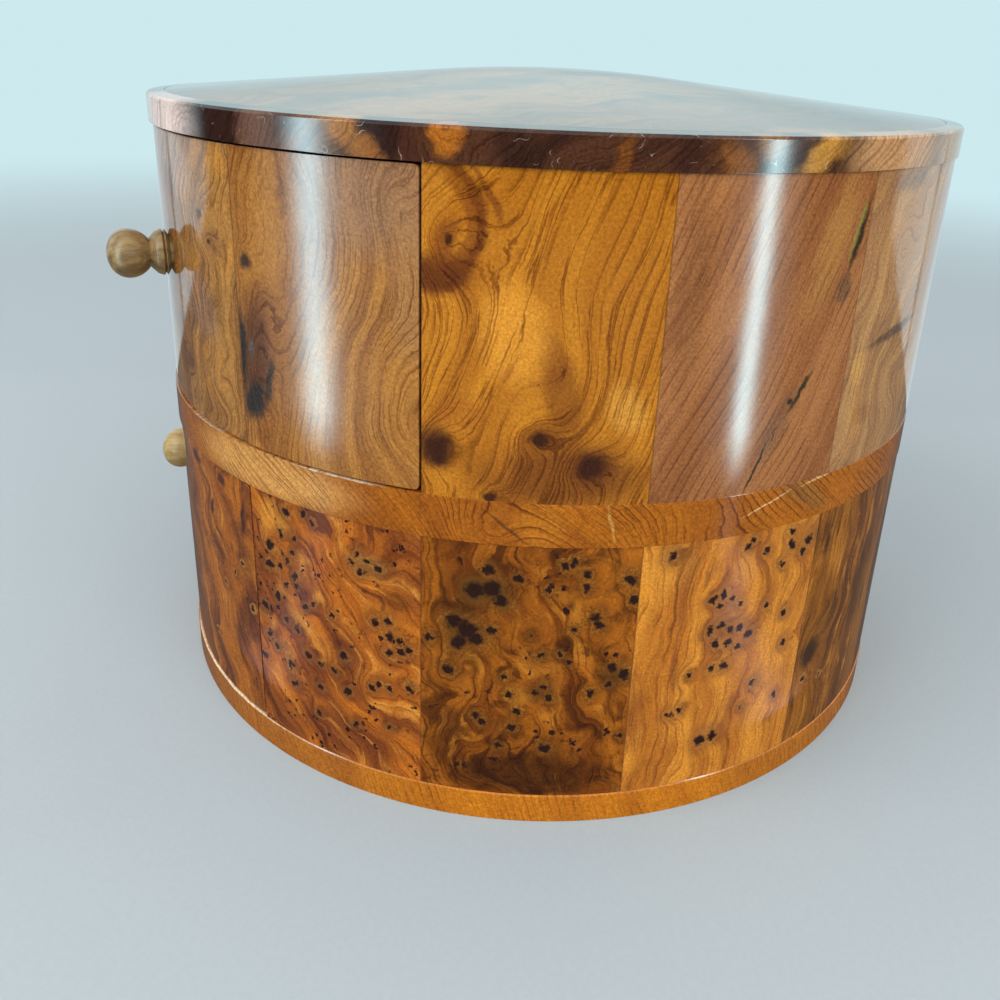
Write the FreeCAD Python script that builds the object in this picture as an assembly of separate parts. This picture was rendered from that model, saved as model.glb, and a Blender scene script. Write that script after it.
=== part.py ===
import FreeCAD, Part
import math
import os

# A drum jewelry box of two tiers, in millimetres. The drum is coopered: flat staves are glued
# edge to edge and turned round outside. The origin is the centre of the drum's underside, +Z is
# up, and the drawers face -Y, so left is -X and right is +X.

# Drum
drum_radius = 100.0
stave_thickness = 7.5          # from the round outside to the flat inner face, mid stave
stave_count = 14               # in each tier, with a joint at the middle of the front

# Levels, from the table upwards
base_height = 7.3
lower_tier_height = 61.7
mid_height = 9.4
upper_tier_height = 63.0
lid_height = 6.3
top_slope = 5.5                # degrees, rim to crown
crown_radius = 30.0            # the cone turns into a round crown inside this radius

# Bands round the edges of the three boards
band_thickness = 4.0
base_overhang = 0.2
mid_overhang = 0.2
lid_overhang = 0.6
base_bevel = 0.4               # top outer edge of the base band
lid_bevel = 0.45               # top outer edge of the lid band
glue_line = 0.2

# Drawer fronts, cut from the drum along its stave joints
lower_front_staves = 4
upper_front_staves = 3         # in each of the two upper fronts
front_gap = 0.45
front_recess = 0.3             # how far a closed front stands back along its slide
front_corner = 1.8
front_arris = 0.35             # a small flat, as on the wall's edges beside the fronts

# Drawer boxes
side_inset = 30.0              # outer side's outside to the drum's outside, at the middle
back_inset = 44.0              # back's outside to the drum's outside, at the middle
side_thickness = 5.0
back_thickness = 5.0
side_drop = 8.0                # sides end this far under the tier's ceiling
bottom_thickness = 3.0
bottom_rise = 3.0              # the bottom stands this far above the sides' lower edges
groove_depth = 2.0
groove_clearance = 0.1
lining_thickness = 1.5
lining_gap = 0.3

# What carries and guides the drawers
slide_gap = 0.3
stop_gap = 0.3
rail_gap = 0.5
rail_width = 4.5
rail_height = 10.0
rail_end_inset = 55.0          # rail's rear end to the drum's outside, at the middle
divider_thickness = 6.0

# Turned knobs. The ball is flattened a little at its front.
upper_ball_radius = 5.5
lower_ball_radius = 5.9
ball_reach = 8.95              # front to the widest place of the ball
ball_shoulder_share = 0.77     # radius of the ball's front shoulder, as a share of its radius
ball_face_angle = 30.0         # degrees off the axis where the shoulder meets the flatter face
neck_radius = 3.15
collar_radius = 5.25
collar_lip = 0.9               # front to the collar's first lip
collar_groove_width = 0.7
collar_groove_depth = 0.75
collar_front = 3.0             # drawer front to the edge where the collar falls to the neck
collar_front_radius = 4.7
foot_radius = 3.7
foot_seat_gap = 0.1
tenon_radius = 2.5
tenon_length = 4.6
tenon_clearance = 0.1
knob_height = 35.3             # above the tier's floor
upper_knob_angle = 30.3        # degrees round the drum from the middle of the front
upper_knob_lean = 5.4          # degrees that the upper knobs turn back to the middle

# Levels worked out from the heights
lower_floor = base_height
lower_ceiling = lower_floor + lower_tier_height
upper_floor = lower_ceiling + mid_height
upper_ceiling = upper_floor + upper_tier_height
rim_level = upper_ceiling + lid_height
lid_radius = drum_radius + lid_overhang

inner_reach = drum_radius - stave_thickness
box_reach = drum_radius - side_inset
box_back = drum_radius - back_inset
rail_back = drum_radius - rail_end_inset
front_angle = -90.0
half_divider = divider_thickness / 2
above = FreeCAD.Vector(0, 0, 1)
pieces = {}


def direction(angle):
    turn = math.radians(angle)
    return FreeCAD.Vector(math.cos(turn), math.sin(turn), 0)


# Angle of a joint between staves, counted round the drum from the middle of the front.
def joint(number):
    return front_angle + number * 360 / stave_count


def box(low, high):
    size = high - low
    return Part.makeBox(size.x, size.y, size.z, low)


# A band turned about the drum's axis, from the corners of its section as radius and level.
def turned_band(corners):
    points = [FreeCAD.Vector(radius, 0, level) for radius, level in corners]
    section = Part.Face(Part.makePolygon(points + points[:1]))
    return Part.Solid(section.revolve(FreeCAD.Vector(0, 0, 0), above, 360))


# One stave between two joint planes. Each plane is an angle and a point that it passes through.
def stave(start, end, start_point, end_point, face_angle, shift, bottom, height):
    centre = FreeCAD.Vector(0, shift, 0)
    outward = direction(face_angle)

    def inner_corner(angle, point):
        run = direction(angle)
        reach = (inner_reach - (point - centre).dot(outward)) / run.dot(outward)
        return point + run * reach

    def outer_corner(angle, point):
        run = direction(angle)
        offset = point - centre
        along = offset.dot(run)
        across = offset.dot(offset) - drum_radius ** 2
        return point + run * (math.sqrt(along ** 2 - across) - along)

    inner_start = inner_corner(start, start_point)
    inner_end = inner_corner(end, end_point)
    outer_start = outer_corner(start, start_point)
    outer_end = outer_corner(end, end_point)
    outer_middle = centre + outward * drum_radius
    edges = [
        Part.makeLine(inner_start, outer_start),
        Part.Arc(outer_start, outer_middle, outer_end).toShape(),
        Part.makeLine(outer_end, inner_end),
        Part.makeLine(inner_end, inner_start),
    ]
    section = Part.Face(Part.Wire(edges))
    section.translate(above * bottom)
    return section.extrude(above * height)


# The flat-sided room inside the staves, moved along the drawers' slide by shift and narrowed
# all round by clearance.
def inner_room(shift, clearance, bottom, height):
    corners = []
    for number in range(stave_count):
        before = direction((joint(number - 1) + joint(number)) / 2)
        after = direction((joint(number) + joint(number + 1)) / 2)
        bisector = (before + after).normalize()
        corner = bisector * ((inner_reach - clearance) / bisector.dot(after))
        corners.append(corner + FreeCAD.Vector(0, shift, bottom))
    section = Part.Face(Part.makePolygon(corners + corners[:1]))
    return section.extrude(above * height)


# Edges whose two ends both lie on the plane through point with the given normal.
def edges_on_plane(shape, point, normal):
    found = []
    for edge in shape.Edges:
        distances = [abs((vertex.Point - point).dot(normal)) for vertex in edge.Vertexes]
        if max(distances) < 0.001:
            found.append(edge)
    return found


def is_level(edge):
    heights = [vertex.Z for vertex in edge.Vertexes]
    return max(heights) - min(heights) < 0.001


def on_outside(edge, shift):
    reaches = [math.hypot(vertex.X, vertex.Y - shift) for vertex in edge.Vertexes]
    return all(abs(reach - drum_radius) < 0.001 for reach in reaches)


# Fixed wall of one tier, from the joint after its front round the back to the other side.
def wall_staves(tier, open_staves_each_side, bottom, height):
    origin = FreeCAD.Vector(0, 0, 0)
    first = open_staves_each_side
    last = stave_count - open_staves_each_side
    for count, number in enumerate(range(first, last), start=1):
        start = joint(number)
        end = joint(number + 1)
        shape = stave(start, end, origin, origin, (start + end) / 2, 0, bottom, height)
        for edge_angle, is_edge in ((start, number == first), (end, number == last - 1)):
            if is_edge:
                normal = direction(edge_angle + 90)
                arris = [e for e in edges_on_plane(shape, origin, normal)
                         if not is_level(e) and on_outside(e, 0)]
                shape = shape.makeChamfer(front_arris, arris)
        pieces[f"{tier}_wall_stave_{count:02d}"] = shape


# One drawer front, from joint first to joint last, with a gap at both of its ends.
def front_staves(name, first, last, end_gaps, bore, bottom, height):
    centre = FreeCAD.Vector(0, front_recess, 0)
    low = bottom + front_gap
    tall = height - 2 * front_gap
    for count, number in enumerate(range(first, last), start=1):
        start = joint(number)
        end = joint(number + 1)
        is_first = number == first
        is_last = number + 1 == last
        start_normal = direction(start + 90)
        end_normal = direction(end + 90)
        start_point = start_normal * end_gaps[0] if is_first else centre
        end_point = end_normal * -end_gaps[1] if is_last else centre
        face_angle = (start + end) / 2
        shape = stave(start, end, start_point, end_point, face_angle, front_recess, low, tall)
        plain_joints = []
        for point, normal, is_end in (
            (start_point, start_normal, is_first),
            (end_point, end_normal, is_last),
        ):
            if is_end:
                corners = [e for e in edges_on_plane(shape, point, normal) if is_level(e)]
                shape = shape.makeFillet(front_corner, corners)
            else:
                plain_joints.append((point, normal))
        arris = [e for e in shape.Edges if on_outside(e, front_recess)]
        for point, normal in plain_joints:
            joint_edges = edges_on_plane(shape, point, normal)
            arris = [e for e in arris if not any(e.isSame(other) for other in joint_edges)]
        shape = shape.makeChamfer(front_arris, arris)
        pieces[f"{name}_front_stave_{count}"] = shape.cut(bore)


# A knob turned about +X, with the drawer front at x = 0, then set on the front.
def knob_place(angle, lean, level):
    foot = FreeCAD.Vector(0, front_recess, level) + direction(angle) * drum_radius
    return FreeCAD.Placement(foot, FreeCAD.Rotation(above, angle + lean))


def knob(place, ball_radius):
    def at(along, radius):
        return FreeCAD.Vector(along, 0, radius)

    def on_shoulder(angle):
        turn = math.radians(angle)
        along = ball_reach + shoulder_radius * math.cos(turn)
        return at(along, ball_radius - shoulder_radius + shoulder_radius * math.sin(turn))

    def on_face(angle):
        turn = math.radians(angle)
        return at(face_centre + face_radius * math.cos(turn), face_radius * math.sin(turn))

    shoulder_radius = ball_shoulder_share * ball_radius
    face_edge = on_shoulder(ball_face_angle)
    face_radius = face_edge.z / math.sin(math.radians(ball_face_angle))
    face_centre = face_edge.x - face_radius * math.cos(math.radians(ball_face_angle))
    tip = on_face(0)
    second_lip = collar_lip + collar_groove_width
    groove_bottom = at(collar_lip + collar_groove_width / 2, collar_radius - collar_groove_depth)
    neck = ball_reach - math.sqrt(ball_radius ** 2 - neck_radius ** 2)
    buried = at(-1.0, foot_radius)
    foot = at(0, foot_radius)
    half_back = (math.pi / 2 + math.asin(neck_radius / ball_radius)) / 2
    ball_back = at(
        ball_reach - ball_radius * math.cos(half_back),
        ball_radius * math.sin(half_back),
    )
    collar_edge = at(collar_front, collar_front_radius)
    edges = [
        Part.makeLine(at(-1.0, 0), buried),
        Part.makeLine(buried, foot),
        Part.makeLine(foot, at(collar_lip, collar_radius)),
        Part.makeLine(at(collar_lip, collar_radius), groove_bottom),
        Part.makeLine(groove_bottom, at(second_lip, collar_radius)),
        Part.makeLine(at(second_lip, collar_radius), collar_edge),
        Part.makeLine(collar_edge, at(neck, neck_radius)),
        Part.Arc(at(neck, neck_radius), ball_back, at(ball_reach, ball_radius)).toShape(),
        Part.Arc(on_shoulder(90), on_shoulder((90 + ball_face_angle) / 2), face_edge).toShape(),
        Part.Arc(face_edge, on_face(ball_face_angle / 2), tip).toShape(),
        Part.makeLine(tip, at(-1.0, 0)),
    ]
    turned = Part.Face(Part.Wire(edges))
    head = Part.Solid(turned.revolve(FreeCAD.Vector(0, 0, 0), FreeCAD.Vector(1, 0, 0), 360))
    head.Placement = place
    seat = Part.makeCylinder(
        drum_radius + foot_seat_gap, rim_level, FreeCAD.Vector(0, front_recess, 0)
    )
    head = head.cut(seat)
    tenon = Part.makeCylinder(
        tenon_radius,
        tenon_length + collar_lip,
        FreeCAD.Vector(-tenon_length, 0, 0),
        FreeCAD.Vector(1, 0, 0),
    )
    tenon.Placement = place
    return head.fuse(tenon).removeSplitter()


def knob_bore(place):
    bore = Part.makeCylinder(
        tenon_radius + tenon_clearance,
        2 * stave_thickness + collar_lip,
        FreeCAD.Vector(-2 * stave_thickness, 0, 0),
        FreeCAD.Vector(1, 0, 0),
    )
    bore.Placement = place
    return bore


# The box behind a front. left and right are the outsides of its two sides.
def drawer_box(name, side_names, left, right, floor, tier_height):
    low = floor + slide_gap
    top = floor + tier_height - side_drop
    front = -drum_radius
    room = inner_room(front_recess, 0, low, top - low)
    groove_low = low + bottom_rise - groove_clearance
    groove_high = low + bottom_rise + bottom_thickness + groove_clearance
    for side_name, outside, inward in ((side_names[0], left, 1), (side_names[1], right, -1)):
        inside = outside + inward * side_thickness
        groove_end = inside - inward * groove_depth
        blank = box(
            FreeCAD.Vector(min(outside, inside), front, low),
            FreeCAD.Vector(max(outside, inside), box_back, top),
        )
        groove = box(
            FreeCAD.Vector(min(inside, groove_end), front, groove_low),
            FreeCAD.Vector(max(inside, groove_end), box_back, groove_high),
        )
        pieces[f"{name}_side_{side_name}"] = blank.cut(groove).common(room)
    tongue = groove_depth - groove_clearance
    bottom_low = low + bottom_rise
    bottom_top = bottom_low + bottom_thickness
    bottom = box(
        FreeCAD.Vector(left + side_thickness - tongue, front, bottom_low),
        FreeCAD.Vector(right - side_thickness + tongue, box_back, bottom_top),
    )
    pieces[f"{name}_bottom"] = bottom.common(room)
    pieces[f"{name}_back"] = box(
        FreeCAD.Vector(left + side_thickness, box_back - back_thickness, bottom_top),
        FreeCAD.Vector(right - side_thickness, box_back, top),
    )
    lining_room = inner_room(front_recess, lining_gap, bottom_top, lining_thickness)
    lining = box(
        FreeCAD.Vector(left + side_thickness + lining_gap, front, bottom_top),
        FreeCAD.Vector(
            right - side_thickness - lining_gap,
            box_back - back_thickness - lining_gap,
            bottom_top + lining_thickness,
        ),
    )
    pieces[f"{name}_lining"] = lining.common(lining_room)


# A strip each side of a tier's drawers. It guides them and stops their fronts.
def rails(tier, floor):
    room = inner_room(front_recess + stop_gap, 0, floor, rail_height)
    inside = box_reach + rail_gap
    blank = box(
        FreeCAD.Vector(inside, -drum_radius, floor),
        FreeCAD.Vector(inside + rail_width, rail_back, floor + rail_height),
    ).common(room)
    pieces[f"{tier}_rail_right"] = blank
    pieces[f"{tier}_rail_left"] = blank.mirror(FreeCAD.Vector(0, 0, 0), FreeCAD.Vector(1, 0, 0))


def base_board_and_band():
    outer = drum_radius + base_overhang
    inner = outer - band_thickness
    pieces["base_board"] = Part.makeCylinder(inner - glue_line, base_height)
    pieces["base_band"] = turned_band([
        (inner, 0),
        (outer, 0),
        (outer, base_height - base_bevel),
        (outer - base_bevel, base_height),
        (inner, base_height),
    ])


def mid_deck_and_band():
    outer = drum_radius + mid_overhang
    inner = outer - band_thickness
    seat = FreeCAD.Vector(0, 0, lower_ceiling)
    pieces["mid_deck"] = Part.makeCylinder(inner - glue_line, mid_height, seat)
    pieces["mid_band"] = turned_band([
        (inner, lower_ceiling),
        (outer, lower_ceiling),
        (outer, upper_floor),
        (inner, upper_floor),
    ])


# The top is a shallow cone with a round crown, and the lid band is turned with it.
def top_and_band():
    slope = math.radians(top_slope)
    inner = lid_radius - band_thickness
    panel_radius = inner - glue_line

    def at(radius, level):
        return FreeCAD.Vector(radius, 0, level)

    def cone_level(radius):
        return rim_level + (lid_radius - radius) * math.tan(slope)

    crown_ball = crown_radius / math.sin(slope)
    crown_centre = cone_level(crown_radius) - crown_ball * math.cos(slope)
    crown_middle = at(
        crown_ball * math.sin(slope / 2),
        crown_centre + crown_ball * math.cos(slope / 2),
    )
    crown_start = at(crown_radius, cone_level(crown_radius))
    apex = at(0, crown_centre + crown_ball)
    panel_edges = [
        Part.makeLine(at(0, upper_ceiling), at(panel_radius, upper_ceiling)),
        Part.makeLine(at(panel_radius, upper_ceiling), at(panel_radius, cone_level(panel_radius))),
        Part.makeLine(at(panel_radius, cone_level(panel_radius)), crown_start),
        Part.Arc(crown_start, crown_middle, apex).toShape(),
        Part.makeLine(apex, at(0, upper_ceiling)),
    ]
    panel = Part.Face(Part.Wire(panel_edges)).revolve(FreeCAD.Vector(0, 0, 0), above, 360)
    pieces["top_panel"] = Part.Solid(panel)
    bevel_radius = lid_radius - lid_bevel
    pieces["lid_band"] = turned_band([
        (inner, upper_ceiling),
        (lid_radius, upper_ceiling),
        (lid_radius, rim_level - lid_bevel),
        (bevel_radius, cone_level(bevel_radius)),
        (inner, cone_level(inner)),
    ])


def centre_divider():
    room = inner_room(0, 0, upper_floor, upper_tier_height)
    stop_room = inner_room(front_recess + stop_gap, 0, upper_floor, upper_tier_height)
    blank = box(
        FreeCAD.Vector(-half_divider, -drum_radius, upper_floor),
        FreeCAD.Vector(half_divider, drum_radius, upper_ceiling),
    )
    pieces["centre_divider"] = blank.common(room).common(stop_room)


def lower_drawer():
    half = lower_front_staves // 2
    place = knob_place(front_angle, 0, lower_floor + knob_height)
    front_staves(
        "lower", -half, half, (front_gap, front_gap), knob_bore(place), lower_floor, lower_tier_height
    )
    drawer_box("lower", ("left", "right"), -box_reach, box_reach, lower_floor, lower_tier_height)
    pieces["lower_knob"] = knob(place, lower_ball_radius)


def upper_drawers():
    inside = half_divider + rail_gap
    level = upper_floor + knob_height
    middle_gap = front_gap / 2
    for name, side, first, last, end_gaps, left, right, side_names in (
        ("upper_left", -1, -upper_front_staves, 0, (front_gap, middle_gap),
         -box_reach, -inside, ("outer", "inner")),
        ("upper_right", 1, 0, upper_front_staves, (middle_gap, front_gap),
         inside, box_reach, ("inner", "outer")),
    ):
        place = knob_place(front_angle + side * upper_knob_angle, -side * upper_knob_lean, level)
        bore = knob_bore(place)
        front_staves(name, first, last, end_gaps, bore, upper_floor, upper_tier_height)
        drawer_box(name, side_names, left, right, upper_floor, upper_tier_height)
        pieces[f"{name}_knob"] = knob(place, upper_ball_radius)


base_board_and_band()
wall_staves("lower", lower_front_staves // 2, lower_floor, lower_tier_height)
rails("lower", lower_floor)
mid_deck_and_band()
wall_staves("upper", upper_front_staves, upper_floor, upper_tier_height)
rails("upper", upper_floor)
centre_divider()
top_and_band()
lower_drawer()
upper_drawers()

os.makedirs("parts", exist_ok=True)
for piece_name, piece in pieces.items():
    piece.exportStep(f"parts/{piece_name}.step")
    print(piece_name, len(piece.Solids), round(piece.Volume, 1), piece.isValid())
print(len(pieces), "pieces")
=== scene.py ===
import math
import random

import bmesh
import bpy
from mathutils import Matrix, Vector


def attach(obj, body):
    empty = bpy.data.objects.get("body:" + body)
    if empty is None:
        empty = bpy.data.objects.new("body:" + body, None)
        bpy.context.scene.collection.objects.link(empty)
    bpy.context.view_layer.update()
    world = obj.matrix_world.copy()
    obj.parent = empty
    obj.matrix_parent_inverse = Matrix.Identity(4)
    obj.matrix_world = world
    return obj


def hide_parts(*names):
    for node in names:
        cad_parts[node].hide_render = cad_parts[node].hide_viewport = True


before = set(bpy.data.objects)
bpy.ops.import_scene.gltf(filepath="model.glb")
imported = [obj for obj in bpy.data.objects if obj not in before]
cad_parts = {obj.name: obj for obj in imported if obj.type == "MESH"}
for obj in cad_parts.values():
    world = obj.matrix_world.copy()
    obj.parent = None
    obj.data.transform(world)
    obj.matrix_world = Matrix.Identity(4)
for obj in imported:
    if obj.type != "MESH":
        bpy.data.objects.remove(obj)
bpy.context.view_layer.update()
scene = bpy.context.scene

# The drum's sizes in millimetres, as in the CAD source
drum = {
    "radius": 100.0,
    "innerReach": 92.5,       # axis to the flat inner face of a stave
    "staveCount": 14,
    "lowerFloor": 7.3,
    "lowerCeiling": 69.0,
    "upperFloor": 78.4,
    "upperCeiling": 141.4,
    "rimLevel": 147.7,
    "frontGap": 0.45,
    "frontRecess": 0.3,
    "frontCorner": 1.8,
    "arris": 0.35,
}
staveTurn = 360 / drum["staveCount"]


camera = {
    "distance": 0.26639, "height": 0.16009,
    "pitch": 0.37387, "roll": 0.04292, "pan": -0.01405,
    "focalPixels": 955.9, "centrePixel": (525.2, 424.5), "imagePixels": 1000, "sensor": 36,
}


def placeCamera(spec):
    pitch, roll, pan = spec["pitch"], spec["roll"], spec["pan"]
    right = Vector((math.sin(pan), math.cos(pan), 0))
    forward = Vector((-math.cos(pan) * math.cos(pitch), math.sin(pan) * math.cos(pitch), -math.sin(pitch)))
    up = right.cross(forward)
    rolledRight = right * math.cos(roll) + up * math.sin(roll)
    rolledUp = up * math.cos(roll) - right * math.sin(roll)
    data = bpy.data.cameras.new("camera")
    size = spec["imagePixels"]
    data.sensor_width = spec["sensor"]
    data.lens = spec["sensor"] * spec["focalPixels"] / size
    data.shift_x = (size / 2 - spec["centrePixel"][0]) / size
    data.shift_y = (spec["centrePixel"][1] - size / 2) / size
    data.clip_start = 0.01
    obj = bpy.data.objects.new("camera", data)
    obj.matrix_world = Matrix.Translation((spec["distance"], 0, spec["height"])) @ Matrix(
        (rolledRight, rolledUp, -forward)).transposed().to_4x4()
    scene.collection.objects.link(obj)
    scene.camera = obj


placeCamera(camera)
print("camera placed")


# A socket that takes plain arithmetic
class Wire:
    def __init__(self, shader, socket):
        self.shader = shader
        self.socket = socket

    def math(self, operation, *others):
        return self.shader.node("ShaderNodeMath", {"operation": operation}, dict(enumerate([self, *others])))

    def __add__(self, other):
        return self.math("ADD", other)

    __radd__ = __add__

    def __mul__(self, other):
        return self.math("MULTIPLY", other)

    __rmul__ = __mul__

    def __sub__(self, other):
        return self.math("SUBTRACT", other)

    def __rsub__(self, other):
        return self.shader.number("SUBTRACT", other, self)

    def __truediv__(self, other):
        return self.math("DIVIDE", other)

    def least(self, other):
        return self.math("MINIMUM", other)

    def most(self, other):
        return self.math("MAXIMUM", other)

    def size(self):
        return self.math("ABSOLUTE")

    def step(self, low, high):
        return self.shader.node("ShaderNodeMapRange", {"interpolation_type": "SMOOTHSTEP"},
                                {"Value": self, "From Min": low, "From Max": high})


class Shader:
    def __init__(self, name, world=None):
        self.owner = world or bpy.data.materials.new(name)
        self.owner.use_nodes = True
        self.tree = self.owner.node_tree
        self.tree.nodes.clear()

    def node(self, kind, settings=None, inputs=None, output=0):
        made = self.tree.nodes.new(kind)
        for key, value in (settings or {}).items():
            setattr(made, key, value)
        for key, value in (inputs or {}).items():
            socket = made.inputs[key]
            if isinstance(value, Wire):
                self.tree.links.new(value.socket, socket)
            elif socket.type == "RGBA":
                socket.default_value = (*value, 1) if len(value) == 3 else value
            else:
                socket.default_value = value
        return Wire(self, made.outputs[output]) if made.outputs else None

    def number(self, operation, first, second):
        return self.node("ShaderNodeMath", {"operation": operation}, {0: first, 1: second})

    def vector(self, operation, first, second=None, output=0):
        inputs = {0: first}
        if second is not None:
            inputs["Scale" if operation == "SCALE" else 1] = second
        return self.node("ShaderNodeVectorMath", {"operation": operation}, inputs, output)

    def join(self, x, y, z):
        return self.node("ShaderNodeCombineXYZ", {}, {0: x, 1: y, 2: z})

    def split(self, value):
        first = self.node("ShaderNodeSeparateXYZ", {}, {0: value})
        outputs = first.socket.node.outputs
        return [Wire(self, outputs[i]) for i in range(3)]

    def noise(self, place, scale, detail=2.0, roughness=0.5, output=0, distortion=0.0):
        return self.node("ShaderNodeTexNoise", {"noise_dimensions": "3D"},
                         {"Vector": place, "Scale": scale, "Detail": detail,
                          "Roughness": roughness, "Distortion": distortion}, output)

    def mix(self, factor, first, second, blend="MIX"):
        return self.node("ShaderNodeMix", {"data_type": "RGBA", "blend_type": blend},
                         {0: factor, 6: first, 7: second}, 2)

    def coordinates(self, kind="Object"):
        return self.node("ShaderNodeTexCoord", output=kind)

    def bump(self, height, strength, distance):
        return self.node("ShaderNodeBump", {}, {"Strength": strength, "Distance": distance, "Height": height})

    def finish(self, colour, roughness, bump, specular=0.5, sheen=0.0):
        bsdf = self.node("ShaderNodeBsdfPrincipled", {}, {
            "Base Color": colour, "Roughness": roughness, "Normal": bump,
            "Specular IOR Level": specular, "Sheen Weight": sheen})
        self.node("ShaderNodeOutputMaterial", {}, {0: bsdf})
        return self.owner


woodTone = {
    "light": (0.52, 0.20, 0.018), "mid": (0.34, 0.115, 0.013), "dark": (0.07, 0.018, 0.005),
    "eye": (0.022, 0.007, 0.004), "flash": (0.72, 0.30, 0.042), "ring": (0.60, 0.27, 0.05),
}
seedStep = 173.0  # keeps the noise of one piece apart from the next


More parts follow.
